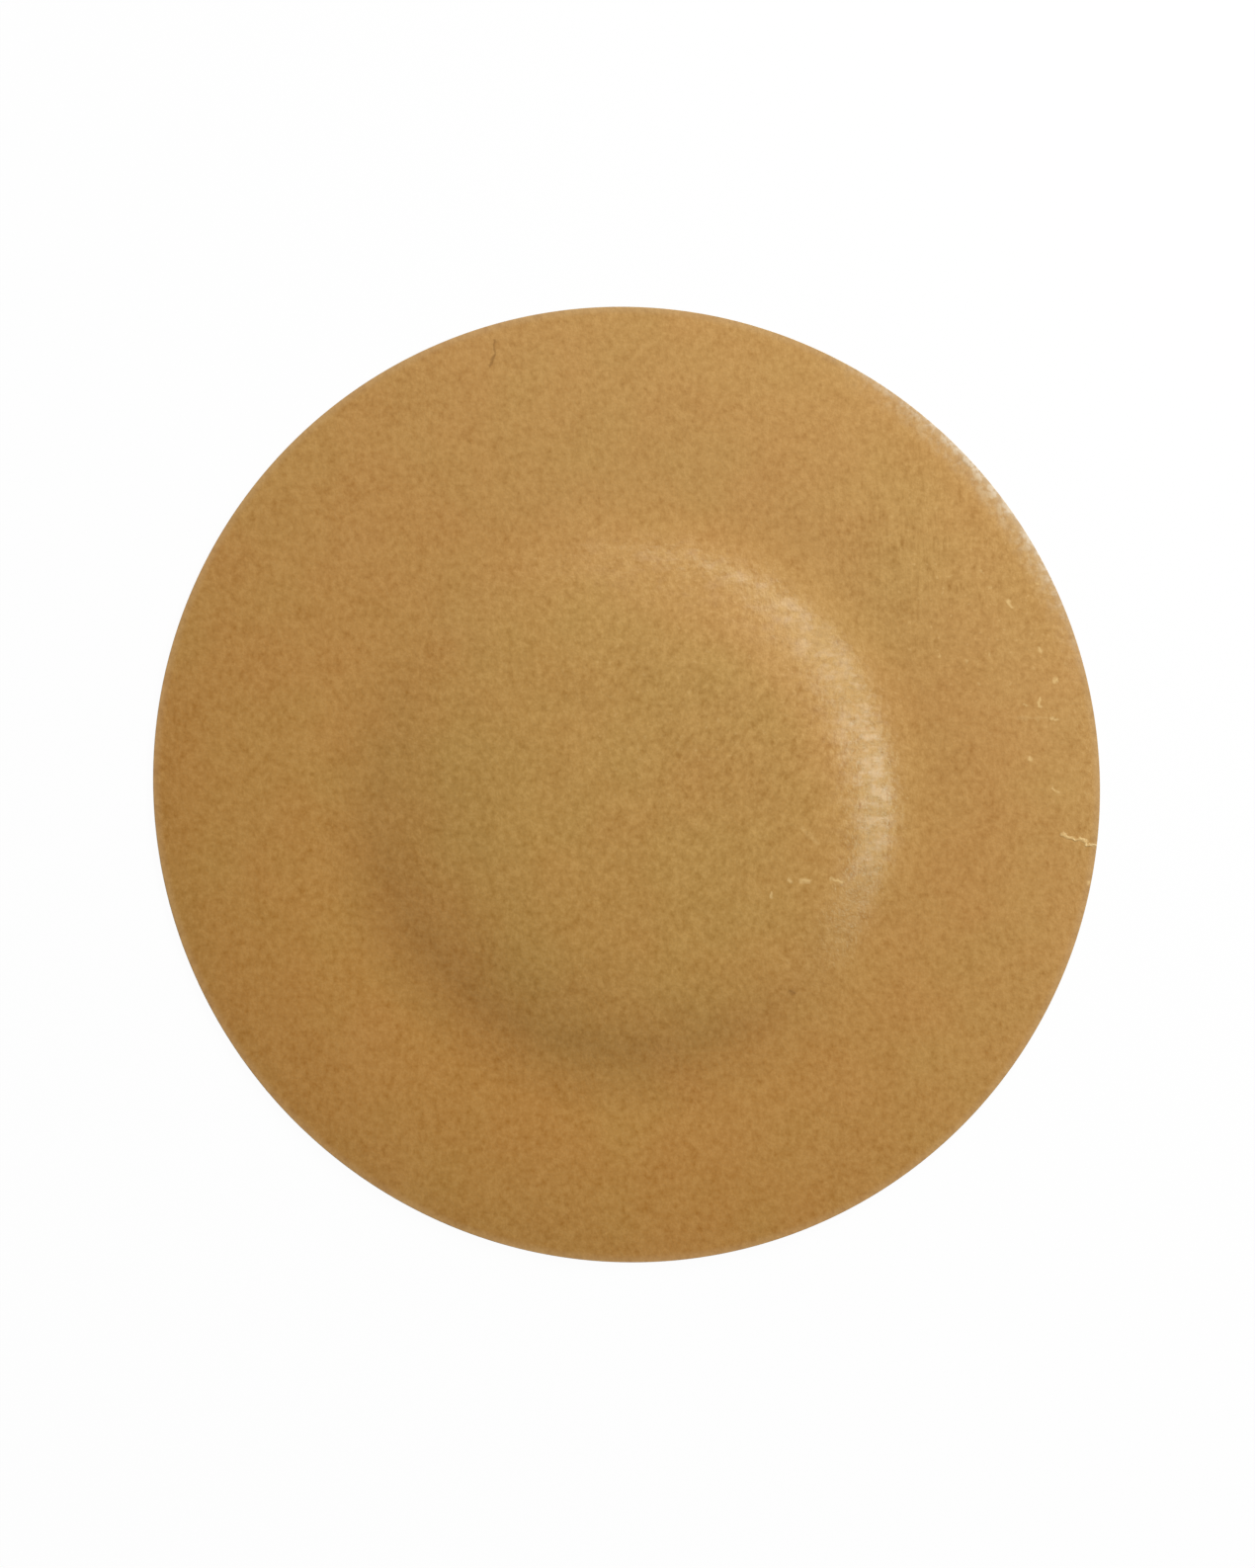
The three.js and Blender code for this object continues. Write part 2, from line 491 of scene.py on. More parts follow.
ORANGE_TAN = colour(186, 133, 66)
OLIVE_TAN = colour(184, 139, 70)
PINK_TAN = colour(190, 137, 74)
CREASE_AND_GLINT_TAN = colour(226, 190, 128)
PAINTED_SHEEN_TAN = colour(200, 172, 124)
EDGE_TAN = colour(212, 186, 148)
PALE_AND_LIT_RIM_TAN = colour(230, 212, 188)
SCRATCH_BROWN = colour(120, 80, 34)
FILM_SHEEN = (0.64, 1.0, 0.8, 1.0)
FILM_SPECULAR = 0.28
FILM_ROUGHNESS = 0.25
GRAIN_ROUGHNESS = 0.25
MARK_GLOSS = 0.1

# Blotches and casts of the base colour, and painted sheen on the dome's shoulder and towards the upper
# right. Places and radii of spots are in millimetres from the centre.
GEL_EDGE_SHARE = 0.95
GEL_CORE_SHARE = 0.55
BLOTCH_LENGTH = 9 * MM
BLOTCH_CONTRAST = 1.8
BLOTCH_OVER_GEL = 0.6
BLOTCH_LEVEL = 0.2
CAST_LENGTH = 13 * MM
CAST_CONTRAST = 4.0
CAST_LEVEL = -0.1
CAST_SHARE = 0.4
SHOULDER_SHEEN_INNER = (11.5 * MM, 14.5 * MM)
SHOULDER_SHEEN_OUTER = (19 * MM, 16 * MM)
SHOULDER_SHEEN_SPOT = (9, 9, 15)
SHOULDER_SHEEN_SHARE = 0.6
STREAK_SPOTS = ((21, 16, 6), (21.5, 21, 5))
STREAK_SHARE = 0.6
PAINTED_SHEEN_BEARING = math.radians(55)
PAINTED_SHEEN_SLOPE = 0.75
PAINTED_SHEEN_SHARE = 0.19

# Grain, and the micro creases of the drawn film.
GRAIN_SIZE = 0.4 * MM
GRAIN_STRETCH = 0.85
GRAIN_DEPTH = 0.036 * MM
GRAIN_TINT = (0.285, 0.213, 0.092)
CRINKLE_SIZE = 0.36 * MM
CRINKLE_STRETCH = 2.2
CRINKLE_TURN = math.radians(-58)
CRINKLE_SPOT = (8, 1, 18)
CRINKLE_TONE = 0.75
CRINKLE_RELIEF = 0.8
LINE_SIZE = 0.3 * MM
LINE_STRETCH = 5.0
LINE_TURN = math.radians(88)
LINE_SPOT = (21, 18, 12)
LINE_TONE = 0.75
LINE_RELIEF = 0.5
CLOUD_LENGTH = 3.5 * MM
CLOUD_TONE = 0.12
RING_GRAIN_TONE = 0.87
DOME_GRAIN_TONE = 0.12
DARK_PIT_SHARE = 1.3
DARK_PIT_LESS_ON_DOME = 0.7

# Handling marks. Each is a width and the points that it runs through, in millimetres from the centre.
WAVER_LENGTH = 0.45 * MM
WAVER_REACH = (0.5 * MM, 0.5 * MM, 0.0)
EDGE_CREASE = (0.18, (32.0, -3.7), (33.1, -4.1), (33.4, -4.0), (33.9, -4.2), (33.9, -4.5), (34.8, -4.5))
SHORT_CREASES = (
    (0.2, (31.4, -0.25), (31.85, -0.65)),
    (0.24, (30.45, 9.95), (30.6, 9.8)),
    (0.26, (31.6, 7.7), (31.75, 7.7)),
    (0.18, (30.45, 6.3), (30.5, 5.7)),
    (0.2, (29.35, 5.9), (29.5, 5.8)),
    (0.2, (31.35, 4.85), (31.75, 4.85)),
    (0.24, (29.6, 1.85), (29.75, 1.8)),
    (0.22, (34.0, -7.3), (34.1, -7.3)),
    (0.22, (28.2, 13.6), (28.5, 13.15)),
    (0.3, (11.25, -7.25), (11.4, -7.35)),
    (0.24, (12.1, -7.3), (12.75, -7.35)),
    (0.18, (14.4, -7.0), (15.35, -7.45)),
    (0.2, (9.95, -8.3), (10.0, -8.6)),
)
FAINT_CREASES = (
    (0.2, (28.8, 4.9), (31.4, 4.85)),
    (0.3, (12.25, -3.5), (13.45, -4.6)),
)
SCRATCHES = (
    (0.18, (-10.0, 32.3), (-10.05, 31.3), (-10.35, 30.4)),
    (0.3, (25.0, 24.1), (25.4, 23.6)),
    (0.26, (11.5, -15.4), (11.7, -15.4)),
)
MARK_BREAK_LENGTH = 0.5 * MM
MARK_BREAK_CONTRAST = 3
MARK_BREAK_LEVEL = 1.0
FAINT_SHARE = 0.3
MARK_SHARE = 0.78
SCRATCH_SHARE = 0.5

# The pale edge, the paler rim beside it at the upper right with its painted highlight, and the flecks, which
# are painted glints.
EDGE_WIDTH = 0.7 * MM
EDGE_SHARE = 0.2
LIT_RIM_SPOT = (27, 22, 18)
PALE_AND_LIT_EDGE_WIDTH = 2.0 * MM
PALE_AND_LIT_RIM_WIDTH = 0.6 * MM
PALE_AND_LIT_RIM_SHARE = 0.6
SPECK_LENGTH = 0.5 * MM
SPECK_CONTRAST = 6
SPECK_LEVEL = 0.3
PALE_AND_LIT_LEVEL = 0.3
PALE_AND_LIT_SPECKS = 0.6
FLECK_LENGTH = 0.42 * MM
FLECK_CONTRAST = 8
FLECK_LEVEL = -1.3
FLECK_RING_SPOT = (26, 13, 15)
FLECK_DOME_SPOT = (3, 5, 15)
FLECK_DOME_SHARE = 0.7
FLECK_SHARE = 0.5

# The polished streaks of the dome's shoulder.
POLISH_BEARING = math.radians(42)
POLISH_FACING = (0.1, 0.85)
POLISH_INNER = (13 * MM, 16 * MM)
POLISH_OUTER = (21 * MM, 19 * MM)
POLISH_STREAK_SIZE = 0.36 * MM
POLISH_STREAK_STRETCH = 4.0
POLISH_PATCH_LENGTH = 1.3 * MM
POLISH_CONTRAST = 4.0
POLISH_LEVEL = 0.2
POLISH_SHARE = 0.75
POLISH_ROUGHNESS = 0.28
POLISH_TINT = (1.0, 0.97, 0.84, 1.0)


def film_material():
    material, tree, shader = new_material("tan_film")
    place = add(tree, "ShaderNodeTexCoord").outputs["Object"]
    parts = add(tree, "ShaderNodeSeparateXYZ", {"Vector": place})
    x = Field(tree, parts.outputs["X"])
    y = Field(tree, parts.outputs["Y"])
    from_centre = (x * x + y * y).math("SQRT")
    dome_y = y - DOME_CENTRE_Y
    from_dome = (x * x + dome_y * dome_y).math("SQRT")
    on_dome = from_dome.ramp(FOOT_RADIUS, FOOT_RADIUS * SLACK_REACH)
    over_gel = from_dome.ramp(FOOT_RADIUS * GEL_EDGE_SHARE, FOOT_RADIUS * GEL_CORE_SHARE)

    # Two tans, an orange and an olive one, in soft blotches, with more olive over the gel, and a pinker cast
    # here and there.
    blotch = noise(tree, place, BLOTCH_LENGTH, roughness=COARSE_NOISE, seed=2.0) * BLOTCH_CONTRAST
    blotch = (blotch + over_gel * BLOTCH_OVER_GEL + BLOTCH_LEVEL).held()
    tan = mixed(tree, blotch, ORANGE_TAN, OLIVE_TAN)
    cast = noise(tree, place, CAST_LENGTH, roughness=COARSE_NOISE, seed=31.0) * CAST_CONTRAST
    cast = (cast + CAST_LEVEL).held()
    tan = mixed(tree, cast * CAST_SHARE, tan, PINK_TAN)
    # Painted sheen: a pink cast on the dome's upper left shoulder stands in for the lamps' soft glow inside
    # the highlight.
    painted_shoulder_sheen = from_dome.ramp(*SHOULDER_SHEEN_INNER) * from_dome.ramp(*SHOULDER_SHEEN_OUTER)
    painted_shoulder_sheen = (painted_shoulder_sheen * spot(tree, place, *SHOULDER_SHEEN_SPOT)).held()
    tan = mixed(tree, painted_shoulder_sheen * SHOULDER_SHEEN_SHARE, tan, PINK_TAN)

    # An olive streak runs up the ring at the upper right.
    low_streak, high_streak = (spot(tree, place, *where) for where in STREAK_SPOTS)
    streak = low_streak.math("MAXIMUM", high_streak)
    tan = mixed(tree, streak * STREAK_SHARE, tan, OLIVE_TAN)

    # Painted sheen: the colour is a little paler and less saturated towards the upper right, where the lamps
    # are, standing in for their haze on the film.
    towards_lamps = x * math.cos(PAINTED_SHEEN_BEARING) + y * math.sin(PAINTED_SHEEN_BEARING)
    painted_sheen = (towards_lamps / PATCH_RADIUS * PAINTED_SHEEN_SLOPE + 0.5).held()
    tan = mixed(tree, painted_sheen * PAINTED_SHEEN_SHARE, tan, PAINTED_SHEEN_TAN)

    # Fine mottled grain over all, and slanted micro creases over the gel where the film was drawn.
    height, tone = grain(tree, GRAIN_SIZE, GRAIN_STRETCH)
    crinkle, crinkle_tone = grain(tree, CRINKLE_SIZE, CRINKLE_STRETCH, CRINKLE_TURN)
    lines, line_tone = grain(tree, LINE_SIZE, LINE_STRETCH, LINE_TURN)
    drawn = (spot(tree, place, *CRINKLE_SPOT) * on_dome).held()
    lined = spot(tree, place, *LINE_SPOT)
    cloud = noise(tree, place, CLOUD_LENGTH, seed=5.0)
    speckle = tone * (RING_GRAIN_TONE + on_dome * DOME_GRAIN_TONE)
    speckle = speckle + crinkle_tone * drawn * CRINKLE_TONE
    speckle = speckle + line_tone * lined * LINE_TONE + cloud * CLOUD_TONE

    # The grain's dark pits go deeper than its pale hills stand out, most of all in the ring.
    pits = DARK_PIT_SHARE - on_dome * DARK_PIT_LESS_ON_DOME
    speckle = speckle - speckle * speckle * pits
    tan = vector_math(tree, "MULTIPLY_ADD", speckle, GRAIN_TINT, tan).outputs[0]

    # Handling marks: a crease that runs in from the right edge, short creases in the ring beside it, a few
    # more low on the dome's right shoulder, and thin dark scratches, the longest near the top left. They all
    # waver a little.
    waver = add(tree, "ShaderNodeTexNoise", {"Vector": place, "Scale": 1 / WAVER_LENGTH, "Detail": 1.0})
    waver = vector_math(tree, "SUBTRACT", waver.outputs["Color"], (0.5, 0.5, 0.5)).outputs[0]
    ragged = vector_math(tree, "MULTIPLY_ADD", waver, WAVER_REACH, place).outputs[0]
    edge_crease = crease(tree, ragged, *EDGE_CREASE)
    marked = strongest([edge_crease, *(crease(tree, ragged, *mark) for mark in SHORT_CREASES)])
    faint = strongest([crease(tree, ragged, *mark) for mark in FAINT_CREASES])
    breaks = noise(tree, place, MARK_BREAK_LENGTH, roughness=COARSE_NOISE, seed=40.0)
    broken = (breaks * MARK_BREAK_CONTRAST + MARK_BREAK_LEVEL).held()
    marked = marked * broken + faint * broken * FAINT_SHARE
    scratch = strongest([crease(tree, ragged, *mark) for mark in SCRATCHES])
    # The creases are painted pale: partly stress-whitened film, partly painted glints where they catch the
    # light.
    tan = mixed(tree, marked.held() * MARK_SHARE, tan, CREASE_AND_GLINT_TAN)
    tan = mixed(tree, scratch * SCRATCH_SHARE, tan, SCRATCH_BROWN)

    # The die-cut edge is pale and speckled all round. At the upper right it is paler still: partly the pale
    # cut edge, partly a painted highlight where the rolled rim catches the light, with glinting specks.
    edge = from_centre.ramp(PATCH_RADIUS - EDGE_WIDTH, PATCH_RADIUS)
    lit_rim_side = spot(tree, place, *LIT_RIM_SPOT)
    pale_and_lit_edge = from_centre.ramp(PATCH_RADIUS - PALE_AND_LIT_EDGE_WIDTH, PATCH_RADIUS) * lit_rim_side
    pale_and_lit_rim = from_centre.ramp(PATCH_RADIUS - PALE_AND_LIT_RIM_WIDTH, PATCH_RADIUS) * lit_rim_side
    specks = noise(tree, place, SPECK_LENGTH, roughness=COARSE_NOISE, seed=50.0)
    specks = (specks * SPECK_CONTRAST + SPECK_LEVEL).held()
    pale = (edge * EDGE_SHARE + pale_and_lit_edge * (PALE_AND_LIT_LEVEL + specks * PALE_AND_LIT_SPECKS)).held()
    tan = mixed(tree, pale, tan, EDGE_TAN)
    tan = mixed(tree, (pale_and_lit_rim * (PALE_AND_LIT_LEVEL + specks)).held() * PALE_AND_LIT_RIM_SHARE, tan, PALE_AND_LIT_RIM_TAN)

    # Painted glints: pale flecks in the ring beside it and on the dome, where tiny creases catch the light.
    painted_glints = noise(tree, place, FLECK_LENGTH, detail=1.0, seed=70.0)
    painted_glints = (painted_glints * FLECK_CONTRAST + FLECK_LEVEL).held()
    glint_dome_area = spot(tree, place, *FLECK_DOME_SPOT) * FLECK_DOME_SHARE
    glint_area = spot(tree, place, *FLECK_RING_SPOT).math("MAXIMUM", glint_dome_area)
    tan = mixed(tree, painted_glints * glint_area * FLECK_SHARE, tan, CREASE_AND_GLINT_TAN)
    put(tree, shader.inputs["Base Color"], tan)

    relief = height + crinkle * drawn * CRINKLE_RELIEF + lines * lined * LINE_RELIEF + edge_crease
    bump = add(tree, "ShaderNodeBump", {"Height": relief, "Strength": 1.0, "Distance": GRAIN_DEPTH})
    put(tree, shader.inputs["Normal"], bump.outputs[0])
    put(tree, shader.inputs["Roughness"], FILM_ROUGHNESS + tone * GRAIN_ROUGHNESS - marked * MARK_GLOSS)
    shader.inputs["Specular IOR Level"].default_value = FILM_SPECULAR
    shader.inputs["Specular Tint"].default_value = FILM_SHEEN

    # Where the film was drawn over the dome's shoulder it was polished in short streaks, right and top most.
    polished_side = x * math.cos(POLISH_BEARING) + dome_y * math.sin(POLISH_BEARING)
    facing = polished_side / from_dome
    flank = from_dome.ramp(*POLISH_INNER) * from_dome.ramp(*POLISH_OUTER)
    _, streaks = grain(tree, POLISH_STREAK_SIZE, POLISH_STREAK_STRETCH)
    patches = noise(tree, place, POLISH_PATCH_LENGTH, roughness=COARSE_NOISE, seed=80.0)
    polish = (streaks * POLISH_CONTRAST + patches * POLISH_CONTRAST + POLISH_LEVEL).held()
    put(tree, shader.inputs["Coat Weight"], facing.ramp(*POLISH_FACING) * flank * polish * POLISH_SHARE)
    shader.inputs["Coat Roughness"].default_value = POLISH_ROUGHNESS
    shader.inputs["Coat Tint"].default_value = POLISH_TINT
    return material


TAN_FILM = film_material()
film = formed_layer(
    "backing_film_formed",
    TAN_FILM,
    {
        "Outer Radius": PATCH_RADIUS,
        "Top Height": RING_TOP,
        "Under Height": FILM_BASE,
        "Under Follows Dome": 1.0,
        "Spokes": 600,
        "Top Rings": 110,
        "Under Rings": 24,
    },
)
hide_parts("backing_film")
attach(film, "root")


# Drug gel.
# The soft, clear and slightly milky gel that carries the drug and fills the dome between the film and the
# membrane. It is dosed onto the web before the membrane is sealed over it.

GEL_LOW, GEL_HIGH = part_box("drug_gel")
GEL_RADIUS = (GEL_HIGH[0] - GEL_LOW[0]) / 2
GEL_CLEARANCE = 0.02 * MM
GEL_MILKY = colour(228, 224, 208)
GEL_CLEAR = colour(238, 236, 226)
GEL_CLOUD_LENGTH = 4 * MM
GEL_CLOUD_CONTRAST = 1.5
GEL_ROUGHNESS = 0.16
GEL_CLOUD_ROUGHNESS = 0.1
GEL_TRANSMISSION = 0.45
GEL_IOR = 1.38


def gel_material():
    material, tree, shader = new_material("drug_gel")
    place = add(tree, "ShaderNodeTexCoord").outputs["Object"]
    cloud = noise(tree, place, GEL_CLOUD_LENGTH, seed=21.0)
    share = cloud * GEL_CLOUD_CONTRAST + 0.5
    put(tree, shader.inputs["Base Color"], mixed(tree, share, GEL_MILKY, GEL_CLEAR))
    put(tree, shader.inputs["Roughness"], GEL_ROUGHNESS + cloud * GEL_CLOUD_ROUGHNESS)
    shader.inputs["Transmission Weight"].default_value = GEL_TRANSMISSION
    shader.inputs["IOR"].default_value = GEL_IOR
    return material


gel = formed_layer(
    "drug_gel_fill",
    gel_material(),
    {
        "Outer Radius": GEL_RADIUS,
        "Outer Centre Y": DOME_CENTRE_Y,
        "Inner Centre Y": DOME_CENTRE_Y,
        "Top Height": FILM_BASE - GEL_CLEARANCE,
        "Under Height": GEL_LOW[2],
        "Under Follows Dome": 0.0,
        "Spokes": 240,
        "Top Rings": 60,
        "Under Rings": 8,
    },
)
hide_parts("drug_gel")
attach(gel, "root")


# Control membrane.
# The white microporous film that lets the drug through at its rate. It closes the gel's dome from below and
# is heat-sealed to the backing film in a narrow band around the dome's foot, which shows as a tanner ring.

MEMBRANE_GREY = colour(231, 229, 222)
MEMBRANE_WHITE = colour(244, 243, 238)
SEALED_TAN = colour(222, 208, 178)
SEALED_SHARE = 0.5
SEALED_EDGE = 0.1 * MM
PORE_SIZE = 0.25 * MM
PORE_CONTRAST = 1.5
PORE_STRENGTH = 0.6
PORE_DEPTH = 0.01 * MM
MEMBRANE_ROUGHNESS = 0.7
PORE_ROUGHNESS = 0.2
SEALED_GLOSS = 0.25


def membrane_material():
    material, tree, shader = new_material("membrane_film")
    place = add(tree, "ShaderNodeTexCoord").outputs["Object"]
    parts = add(tree, "ShaderNodeSeparateXYZ", {"Vector": place})
    x = Field(tree, parts.outputs["X"])
    y = Field(tree, parts.outputs["Y"]) - DOME_CENTRE_Y
    from_dome = (x * x + y * y).math("SQRT")
    sealed = from_dome.ramp(FOOT_RADIUS - SEALED_EDGE, FOOT_RADIUS + SEALED_EDGE)
    height, tone = grain(tree, PORE_SIZE)
    white = mixed(tree, tone * PORE_CONTRAST + 0.5, MEMBRANE_GREY, MEMBRANE_WHITE)
    put(tree, shader.inputs["Base Color"], mixed(tree, sealed * SEALED_SHARE, white, SEALED_TAN))
    put(tree, shader.inputs["Roughness"], MEMBRANE_ROUGHNESS + tone * PORE_ROUGHNESS - sealed * SEALED_GLOSS)
    bump = add(tree, "ShaderNodeBump", {"Height": height, "Strength": PORE_STRENGTH, "Distance": PORE_DEPTH})
    put(tree, shader.inputs["Normal"], bump.outputs[0])
    return material


def finish_node(node, material):
    """Gives a CAD node's object its material in every slot."""
    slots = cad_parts[node].material_slots
    for slot in slots:
        slot.material = material


finish_node("control_membrane", membrane_material())


# Adhesive ring.
# Pale acrylic skin adhesive, coated in a ring around the sealed membrane. It follows the film above it and
# lies flat on the liner below.

ADHESIVE_LOW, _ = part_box("adhesive_ring")
SEAL_GAP = 0.3 * MM
ADHESIVE_AMBER = colour(222, 204, 166)
ADHESIVE_PALE = colour(234, 222, 192)
COAT_MOTTLE_SIZE = 0.7 * MM
ADHESIVE_ROUGHNESS = 0.3
COAT_MOTTLE_ROUGHNESS = 0.2


def adhesive_material():
    material, tree, shader = new_material("skin_adhesive")
    _, tone = grain(tree, COAT_MOTTLE_SIZE)
    put(tree, shader.inputs["Base Color"], mixed(tree, tone + 0.5, ADHESIVE_AMBER, ADHESIVE_PALE))
    put(tree, shader.inputs["Roughness"], ADHESIVE_ROUGHNESS + tone * COAT_MOTTLE_ROUGHNESS)
    return material


adhesive = formed_layer(
    "adhesive_ring_coat",
    adhesive_material(),
    {
        "Outer Radius": PATCH_RADIUS,
        "Inner Radius": FOOT_RADIUS + SEAL_BAND + SEAL_GAP,
        "Inner Centre Y": DOME_CENTRE_Y,
        "Top Height": FILM_BASE,
        "Under Height": ADHESIVE_LOW[2],
        "Under Follows Dome": 0.0,
        "Spokes": 360,
        "Top Rings": 24,
        "Under Rings": 4,
    },
)
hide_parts("adhesive_ring")
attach(adhesive, "root")


# Seal disc.
# A thin pale grey laminate that keeps the membrane closed until use. It is punched to the membrane's size,
# laid against it, and comes away with the liner, to which it is bonded more strongly.

LAMINATE_DARK = colour(190, 191, 193)
LAMINATE_PALE = colour(211, 212, 213)
ROLL_LINE_SIZE = 0.3 * MM
ROLL_LINE_STRETCH = 9.0
ROLL_LINE_CONTRAST = 1.2
ROLL_LINE_STRENGTH = 0.5
ROLL_LINE_DEPTH = 0.006 * MM
LAMINATE_CLOUD_SIZE = 4 * MM
LAMINATE_CLOUD_CONTRAST = 0.8
LAMINATE_ROUGHNESS = 0.36
ROLL_LINE_ROUGHNESS = 0.2


def seal_material():
    material, tree, shader = new_material("seal_laminate")
    height, tone = grain(tree, ROLL_LINE_SIZE, ROLL_LINE_STRETCH)
    _, cloud = grain(tree, LAMINATE_CLOUD_SIZE)
    share = tone * ROLL_LINE_CONTRAST + cloud * LAMINATE_CLOUD_CONTRAST + 0.5
    put(tree, shader.inputs["Base Color"], mixed(tree, share, LAMINATE_DARK, LAMINATE_PALE))
    put(tree, shader.inputs["Roughness"], LAMINATE_ROUGHNESS + tone * ROLL_LINE_ROUGHNESS)
    lines = {"Height": height, "Strength": ROLL_LINE_STRENGTH, "Distance": ROLL_LINE_DEPTH}
    bump = add(tree, "ShaderNodeBump", lines)
    put(tree, shader.inputs["Normal"], bump.outputs[0])
    return material


finish_node("seal_disc", seal_material())


# Release liner and its peel strip.
# A siliconised, slightly frosted clear film, punched with the patch to one outline and parted by a straight
# slit, so that the small strip lifts first. The layers seen through the real film are painted on it here.

RING_SHADE = colour(206, 188, 152)
RING_LIGHT = colour(219, 204, 172)
FROST_SHADE = colour(206, 208, 209)
FROST_LIGHT = colour(218, 220, 221)
SEAM_BROWN = colour(160, 150, 132)
SEAM_WIDTH = 0.3 * MM
SEAM_SHARE = 0.35
FROST_SIZE = 0.5 * MM
FROST_STRETCH = 3.0
FROST_TURN = math.radians(90)
FROST_STRENGTH = 0.2
FROST_DEPTH = 0.003 * MM
LINER_CLOUD_LENGTH = 6 * MM
LINER_CLOUD_DETAIL = 3.0
LINER_ROUGHNESS = 0.22
FROST_ROUGHNESS = 0.15
LINER_CLOUD_ROUGHNESS = 0.1
SILICONE_COAT = 0.4
SILICONE_ROUGHNESS = 0.12


def liner_material():
    material, tree, shader = new_material("liner_film")
    place = add(tree, "ShaderNodeTexCoord").outputs["Object"]
    parts = add(tree, "ShaderNodeSeparateXYZ", {"Vector": place})
    x = Field(tree, parts.outputs["X"])
    y = Field(tree, parts.outputs["Y"])
    dome_y = y - DOME_CENTRE_Y
    from_dome = (x * x + dome_y * dome_y).math("SQRT")
    seal_edge = FOOT_RADIUS + SEAL_BAND
    over_seal = from_dome.ramp(seal_edge + SEAL_GAP, seal_edge)
    seam = (from_dome - seal_edge - SEAL_GAP / 2).math("ABSOLUTE").ramp(SEAM_WIDTH, 0.0)
    height, tone = grain(tree, FROST_SIZE, FROST_STRETCH, FROST_TURN)
    cloud = noise(tree, place, LINER_CLOUD_LENGTH, LINER_CLOUD_DETAIL, COARSE_NOISE, seed=60.0)
    over_ring = mixed(tree, tone + cloud + 0.5, RING_SHADE, RING_LIGHT)
    frost = mixed(tree, tone + cloud + 0.5, FROST_SHADE, FROST_LIGHT)
    seen = mixed(tree, over_seal, over_ring, frost)
    put(tree, shader.inputs["Base Color"], mixed(tree, seam * SEAM_SHARE, seen, SEAM_BROWN))
    rough = LINER_ROUGHNESS + tone * FROST_ROUGHNESS + cloud * LINER_CLOUD_ROUGHNESS
    put(tree, shader.inputs["Roughness"], rough)
    frosting = {"Height": height, "Strength": FROST_STRENGTH, "Distance": FROST_DEPTH}
    bump = add(tree, "ShaderNodeBump", frosting)
    put(tree, shader.inputs["Normal"], bump.outputs[0])
    shader.inputs["Coat Weight"].default_value = SILICONE_COAT
    shader.inputs["Coat Roughness"].default_value = SILICONE_ROUGHNESS
    return material


LINER_FILM = liner_material()
finish_node("release_liner", LINER_FILM)
finish_node("liner_peel_strip", LINER_FILM)


# Floor, light and camera.
# A plain white floor under soft studio light from the upper right, and a camera almost straight above.

FLOOR_HALF = 1.5
FLOOR_DROP = 0.02 * MM
FLOOR_WHITE = (0.9, 0.9, 0.9, 1)
FLOOR_ROUGHNESS = 0.9
FLOOR_GLOW = 0.96
ROOM_STRENGTH = 0.4

floor_mesh = bpy.data.meshes.new("floor")
floor_corners = (
    (-FLOOR_HALF, -FLOOR_HALF, -FLOOR_DROP),
    (FLOOR_HALF, -FLOOR_HALF, -FLOOR_DROP),
    (FLOOR_HALF, FLOOR_HALF, -FLOOR_DROP),
    (-FLOOR_HALF, FLOOR_HALF, -FLOOR_DROP),
)
floor_mesh.from_pydata(floor_corners, [], [(0, 1, 2, 3)])
floor = bpy.data.objects.new("floor", floor_mesh)
bpy.context.scene.collection.objects.link(floor)


def seen_directly(tree):
    """1 where the camera looks at something straight, in a reflection or through glass."""
    path = add(tree, "ShaderNodeLightPath")
    straight = Field(tree, path.outputs["Is Camera Ray"])
    mirrored = Field(tree, path.outputs["Is Glossy Ray"])
    through = Field(tree, path.outputs["Is Transmission Ray"])
    return (straight + mirrored + through).math("MINIMUM", 1.0)


# The floor is lit as white paper is, and to the camera most of its brightness is white paper's own, so that
# it shows white with a little of the patch's shadow still on it.
floor_material, floor_tree, floor_shader = new_material("floor_white")
floor_shader.inputs["Base Color"].default_value = FLOOR_WHITE
floor_shader.inputs["Roughness"].default_value = FLOOR_ROUGHNESS
glow = add(floor_tree, "ShaderNodeEmission", {"Color": (1, 1, 1, 1), "Strength": 1.0})
paper = floor_tree.nodes.new("ShaderNodeMixShader")
put(floor_tree, paper.inputs[0], seen_directly(floor_tree) * FLOOR_GLOW)
floor_tree.links.new(floor_shader.outputs[0], paper.inputs[1])
floor_tree.links.new(glow.outputs[0], paper.inputs[2])

# The floor lies a hair below the liner. From underneath it is clear, to the eye and to the light that comes
# from below, so that the liner can be looked at from there.
behind = Field(floor_tree, add(floor_tree, "ShaderNodeNewGeometry").outputs["Backfacing"])
shading = Field(floor_tree, add(floor_tree, "ShaderNodeLightPath").outputs["Is Shadow Ray"])
clear = floor_tree.nodes.new("ShaderNodeBsdfTransparent")
surface = floor_tree.nodes.new("ShaderNodeMixShader")
put(floor_tree, surface.inputs[0], behind.math("MAXIMUM", shading))
floor_tree.links.new(paper.outputs[0], surface.inputs[1])
floor_tree.links.new(clear.outputs[0], surface.inputs[2])
floor_tree.links.new(surface.outputs[0], floor_tree.nodes["Material Output"].inputs["Surface"])
floor_mesh.materials.append(floor_material)

world = bpy.data.worlds.new("studio")
bpy.context.scene.world = world
world.use_nodes = True
sky = world.node_tree
background = sky.nodes["Background"]
background.inputs["Color"].default_value = (1.0, 1.0, 1.0, 1)
in_view = Field(sky, add(sky, "ShaderNodeLightPath").outputs["Is Camera Ray"])
direction = add(sky, "ShaderNodeTexCoord").outputs["Generated"]
upwards = Field(sky, add(sky, "ShaderNodeSeparateXYZ", {"Vector": direction}).outputs["Z"])

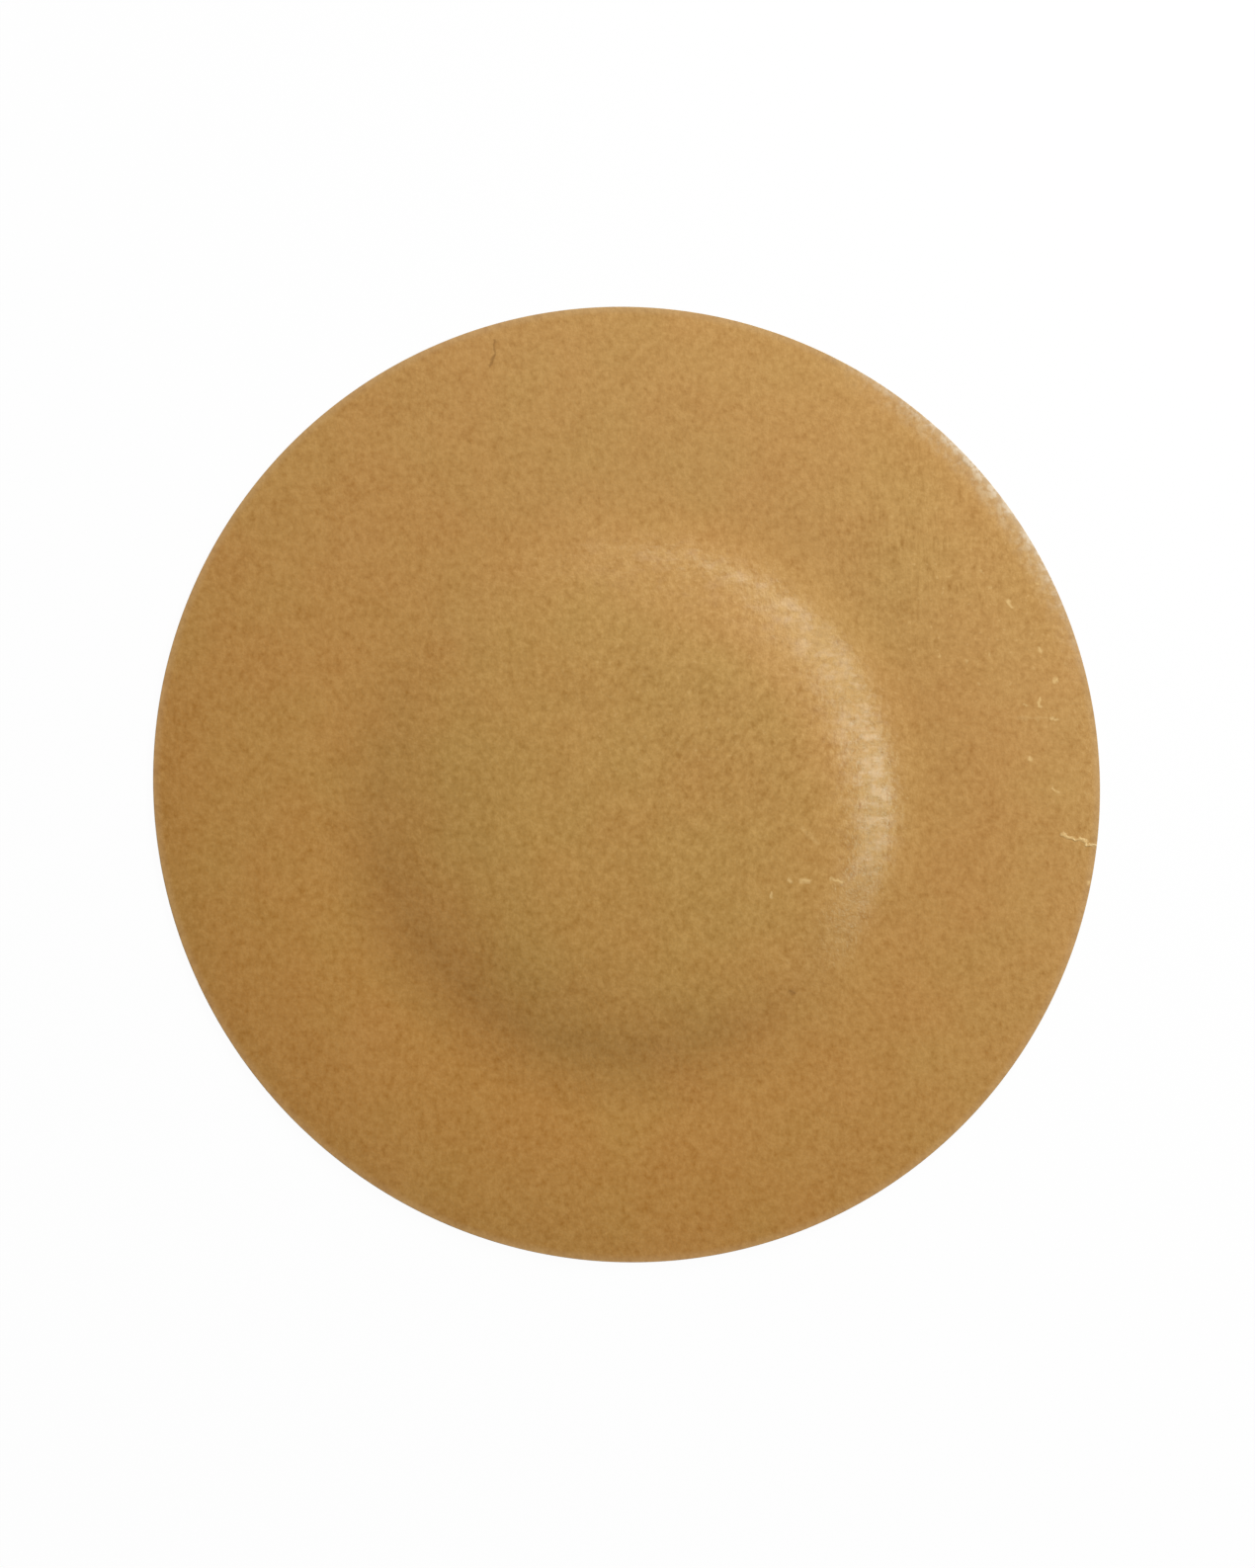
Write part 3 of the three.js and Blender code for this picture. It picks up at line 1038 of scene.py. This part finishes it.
# The room's light is even from all around, and brighter from underneath, where no softbox shines.
room = upwards.math("LESS_THAN", 0.0).math("MAXIMUM", ROOM_STRENGTH)
put(sky, background.inputs["Strength"], in_view * (1 - room) + room)


def softbox(name, bearing, tilt, distance, width, height, power):
    """A soft light of that width and height, faced to the patch from a bearing and a tilt off vertical."""
    data = bpy.data.lights.new(name, "AREA")
    data.shape = "RECTANGLE"
    data.size = width
    data.size_y = height
    data.energy = power
    lamp = bpy.data.objects.new(name, data)
    bpy.context.scene.collection.objects.link(lamp)
    sideways = math.sin(math.radians(tilt))
    direction = Vector(
        (
            sideways * math.cos(math.radians(bearing)),
            sideways * math.sin(math.radians(bearing)),
            math.cos(math.radians(tilt)),
        )
    )
    lamp.location = distance * direction
    lamp.rotation_euler = direction.to_track_quat("Z", "Y").to_euler()


softbox("main_softbox", bearing=61, tilt=62, distance=0.26, width=0.2, height=0.12, power=0.435)
softbox("side_softbox", bearing=2, tilt=49, distance=0.24, width=0.12, height=0.025, power=0.112)
softbox("upper_softbox", bearing=31, tilt=45, distance=0.24, width=0.11, height=0.032, power=0.058)
softbox("top_softbox", bearing=85, tilt=45, distance=0.24, width=0.16, height=0.045, power=0.042)

CAMERA_DISTANCE = 0.45
CAMERA_TILT = math.radians(10.0)
CAMERA_BEARING = math.radians(205.7)
CAMERA_AIM = Vector((-0.31, -0.14, 0)) * MM
PHOTO_HEIGHT_PX = 1587
PATCH_WIDTH_PX = 969.4
SENSOR_WIDTH = 36
frame_height = 2 * PATCH_RADIUS * PHOTO_HEIGHT_PX / PATCH_WIDTH_PX
camera_data = bpy.data.cameras.new("camera")
camera_data.sensor_width = SENSOR_WIDTH
camera_data.lens = camera_data.sensor_width * CAMERA_DISTANCE / frame_height
camera = bpy.data.objects.new("camera", camera_data)
bpy.context.scene.collection.objects.link(camera)
lean_axis = Vector((-math.sin(CAMERA_BEARING), math.cos(CAMERA_BEARING), 0))
lean = Matrix.Rotation(CAMERA_TILT, 4, lean_axis)
camera.matrix_world = Matrix.Translation(CAMERA_AIM) @ lean @ Matrix.Translation((0, 0, CAMERA_DISTANCE))
bpy.context.scene.camera = camera

bpy.context.scene.view_settings.view_transform = "Standard"
